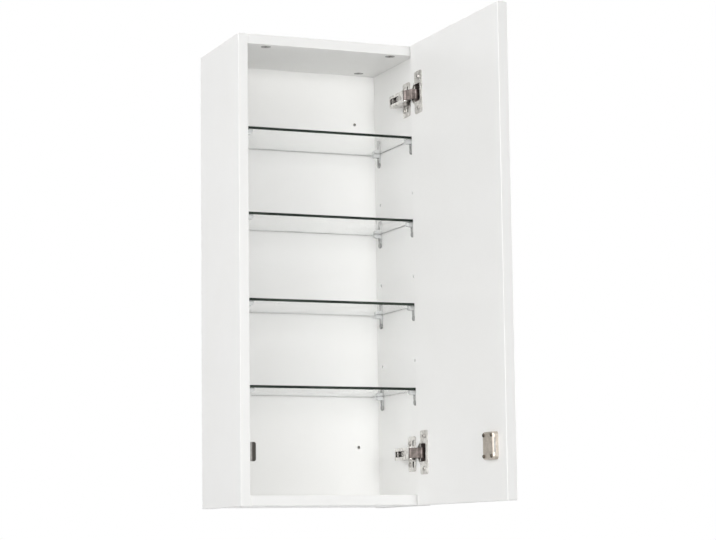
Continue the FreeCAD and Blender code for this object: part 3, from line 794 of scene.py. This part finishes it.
def makeSoftened(node, look, shaping):
    piece = ownCopy(nodes[node], node + "_soft")
    piece.parent = None
    piece.matrix_world = Matrix.Identity(4)
    for key in list(piece.keys()):
        del piece[key]
    pickOnly(piece)
    toEditMode()
    bpy.ops.mesh.select_all(action="SELECT")
    bpy.ops.mesh.remove_doubles(threshold=shaping["merge"])
    bpy.ops.mesh.dissolve_limited(angle_limit=radians(shaping["flatAngle"]))
    toObjectMode()
    applyModifier(
        piece, "BEVEL", width=look["round"], segments=shaping["steps"],
        limit_method="ANGLE", angle_limit=radians(shaping["edgeAngle"]),
    )
    smoothByAngle(piece, shaping["smoothAngle"])
    dress(piece, finishes[look["finish"]])
    if "second" in look:
        wanted, finish = look["second"]
        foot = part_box(node)[0][2]
        paintFaces(piece, finishes[finish], lambda middle, normal: wanted(middle, foot))
    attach(piece, bodyOf[node])
    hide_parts(node)


for name, look in softened.items():
    makeSoftened(name, look, softening)
print("softened fittings:", len(softened))


# screws with domed heads, crossed recesses and pointed shanks
doorOut = tuple(doorNormal)
screws = {
    "hinge_cup_screws": {
        "headRadius": 0.0033, "headHeight": 0.0016, "shankRadius": 0.0017, "shankLength": 0.0108,
        "out": doorOut, "finish": "screwSteel",
        "seats": [(0.1252442, -0.2137774, z) for z in (0.248, 0.296, -0.296, -0.248)],
    },
    "hinge_plate_screws": {
        "headRadius": 0.0038, "headHeight": 0.0016, "shankRadius": 0.0021, "shankLength": 0.0128,
        "out": (-1, 0, 0), "finish": "screwSteel",
        "seats": [(0.1332, -0.143, z) for z in (0.256, 0.288, -0.288, -0.256)],
    },
    "lock_screws": {
        "headRadius": 0.0027, "headHeight": 0.0016, "shankRadius": 0.0014, "shankLength": 0.0168,
        "out": doorOut, "finish": "lockScrewSteel",
        "seats": [
            (x, y, z) for x, y in ((0.1216818, -0.4279722), (0.1220972, -0.4517686))
            for z in (-0.28765, -0.25835)
        ],
    },
    "keeper_screws": {
        "headRadius": 0.0028, "headHeight": 0.0016, "shankRadius": 0.0014, "shankLength": 0.0098,
        "out": (1, 0, 0), "finish": "lockScrewSteel",
        "seats": [(-0.133, -0.1692, z) for z in (-0.2787, -0.2627)],
    },
}
# lengths here are shares of the head's radius or height, the shank's length or the recess's half width
screwShape = {
    "sides": 32,
    "dome": 0.72,
    "domeSteps": 5,
    "straight": 0.75,
    "point": 0.15,
    "crossReach": 0.6,
    "crossHalf": 0.14,
    "hubReach": 1.5,
    "crossDepth": 0.75,
    "twists": (12, 57, 83, 31),
    "smoothAngle": 32,
}


def makeCross(look, shape):
    reach = look["headRadius"] * shape["crossReach"]
    thin = look["headRadius"] * shape["crossHalf"]
    depth = look["headHeight"] * shape["crossDepth"]
    hub = thin * shape["hubReach"]
    clearSelection()
    bpy.ops.mesh.primitive_cube_add(
        size=1, location=(0, 0, look["headHeight"]), scale=(2 * thin, 2 * thin, 2 * depth),
    )
    cross = bpy.context.object
    applyPlace(cross)
    for side in (Vector((1, 0, 0)), Vector((-1, 0, 0)), Vector((0, 1, 0)), Vector((0, -1, 0))):
        # only the hub's own face grows into an arm, and not the flanks of the arms before it
        pickFaces(
            cross,
            lambda middle, normal: normal.dot(side) > along and abs(middle.x) + abs(middle.y) < hub,
        )
        bpy.ops.mesh.extrude_region_move(TRANSFORM_OT_translate={"value": side * (reach - thin)})
        toObjectMode()
    return cross


def makeScrew(look, shape):
    height = look["headHeight"]
    length = look["shankLength"]
    straight = length * shape["straight"]
    clearSelection()
    bpy.ops.mesh.primitive_cylinder_add(
        vertices=shape["sides"], radius=look["headRadius"], depth=height, location=(0, 0, height / 2),
    )
    screw = bpy.context.object
    applyPlace(screw)
    pickFaces(screw, lambda middle, normal: normal.z > along)
    bpy.ops.mesh.bevel(offset=height * shape["dome"], segments=shape["domeSteps"], affect="EDGES")
    toObjectMode()
    pickFaces(screw, lambda middle, normal: normal.z < -along)
    bpy.ops.mesh.inset(thickness=look["headRadius"] - look["shankRadius"])
    bpy.ops.mesh.extrude_region_move(TRANSFORM_OT_translate={"value": (0, 0, -straight)})
    bpy.ops.mesh.extrude_region_move(TRANSFORM_OT_translate={"value": (0, 0, straight - length)})
    bpy.ops.transform.resize(value=(shape["point"], shape["point"], 1), center_override=(0, 0, -length))
    toObjectMode()
    cross = makeCross(look, shape)
    applyModifier(screw, "BOOLEAN", operation="DIFFERENCE", object=cross, solver="EXACT")
    bpy.data.objects.remove(cross)
    return screw


def makeScrews(node, look, shape):
    model = makeScrew(look, shape)
    facing = Vector((0, 0, 1)).rotation_difference(Vector(look["out"]))
    placed = []
    for index, seat in enumerate(look["seats"]):
        twin = ownCopy(model, node + "_%d" % index)
        twist = Quaternion((0, 0, 1), radians(shape["twists"][index]))
        twin.matrix_world = Matrix.Translation(seat) @ (facing @ twist).to_matrix().to_4x4()
        applyPlace(twin)
        placed.append(twin)
    bpy.data.objects.remove(model)
    piece = joinPieces(placed, node + "_domed")
    smoothByAngle(piece, shape["smoothAngle"])
    dress(piece, finishes[look["finish"]])
    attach(piece, bodyOf[node])
    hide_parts(node)


for name, look in screws.items():
    makeScrews(name, look, screwShape)
print("screws made:", sum(len(look["seats"]) for look in screws.values()))


# studio: a pale floor far below, six soft lamps and a white surround
studio = {
    "floorHeight": -1.45,
    "floorSize": 80,
    "floorTone": (0.86, 0.86, 0.86),
    "floorMottle": (0.8471, 0.8471, 0.8471),
    "floorCloud": (3, 3),
    "floorGloss": 0.9,
    "floorGlow": 0.9,
    "glowShare": 0.6,
    "skyTop": 0.2,
    "skyBottom": 0.3,
}
lamps = {
    "frontLamp": {"place": (-0.25, -4.6, 0.15), "aim": (0, -0.1, 0), "size": 1.3, "power": 70},
    "leftLamp": {"place": (-2.4, -3.6, 0.1), "aim": (0, -0.1, 0), "size": 2.2, "power": 22},
    "sideLamp": {"place": (-3.2, -1.7, 0.8), "aim": (0, -0.2, 0.1), "size": 2.4, "power": 68},
    "doorLamp": {"place": (3.4, -0.45, 0.8), "aim": (0, -0.2, 0), "size": 2.8, "power": 34},
    "wallLamp": {"place": (0.8, 3.8, 1.0), "aim": (0, 0, 0), "size": 4.6, "power": 62},
    "topLamp": {"place": (0.3, 0.6, 4.0), "aim": (0, 0, 0), "size": 2.6, "power": 36},
}


def seenDirectly(tree):
    path = addNode(tree, "ShaderNodeLightPath")
    seen = mathNode(tree, "MAXIMUM", path.outputs["Is Camera Ray"], path.outputs["Is Glossy Ray"])
    return mathNode(tree, "MAXIMUM", seen, path.outputs["Is Transmission Ray"])


def makeFloor(setup):
    clearSelection()
    bpy.ops.mesh.primitive_plane_add(size=setup["floorSize"], location=(0, 0, setup["floorHeight"]))
    floor = bpy.context.object
    floor.name = "studioFloor"
    applyPlace(floor)
    finish, tree = newFinish("paleFloor")
    cloud = spread(tree, noise(tree, pieceSpace(tree), *setup["floorCloud"]), 0, 1)
    colour = twoTone(tree, cloud, setup["floorTone"], setup["floorMottle"])
    body = principled(tree, colour, setup["floorGloss"], Specular_IOR_Level=0)
    glow = addNode(tree, "ShaderNodeEmission")
    setInputs(glow, {"Strength": setup["floorGlow"]})
    share = mathNode(tree, "MULTIPLY", seenDirectly(tree), setup["glowShare"])
    closeFinish(tree, chooseShader(tree, share, body, glow.outputs[0]))
    dress(floor, finish)


def makeAreaLamp(name, look):
    clearSelection()
    facing = (Vector(look["aim"]) - Vector(look["place"])).to_track_quat("-Z", "Y").to_euler()
    bpy.ops.object.light_add(type="AREA", location=look["place"], rotation=facing)
    lamp = bpy.context.object
    lamp.name = name
    lamp.data.shape = "SQUARE"
    lamp.data.size = look["size"]
    lamp.data.energy = look["power"]


def makeWorld(setup):
    world = bpy.data.worlds.new("studioWorld")
    bpy.context.scene.world = world
    world.use_nodes = True
    tree = world.node_tree
    tree.nodes.clear()
    direction = addNode(tree, "ShaderNodeTexCoord")
    height = addNode(tree, "ShaderNodeMapRange")
    setInputs(height, {"From Min": -1, "From Max": 1})
    setInputs(height, {"To Min": setup["skyBottom"], "To Max": setup["skyTop"]})
    wire(tree, axesOf(tree, direction.outputs["Generated"])["Z"], height.inputs["Value"])
    sky = addNode(tree, "ShaderNodeBackground")
    wire(tree, height.outputs[0], sky.inputs["Strength"])
    white = addNode(tree, "ShaderNodeBackground")
    setInputs(white, {"Color": (1, 1, 1, 1), "Strength": 1})
    output = addNode(tree, "ShaderNodeOutputWorld")
    choice = chooseShader(tree, seenDirectly(tree), sky.outputs[0], white.outputs[0])
    wire(tree, choice, output.inputs["Surface"])


makeFloor(studio)
for name, look in lamps.items():
    makeAreaLamp(name, look)
makeWorld(studio)
bpy.context.scene.view_settings.view_transform = "Standard"
print("studio lit")
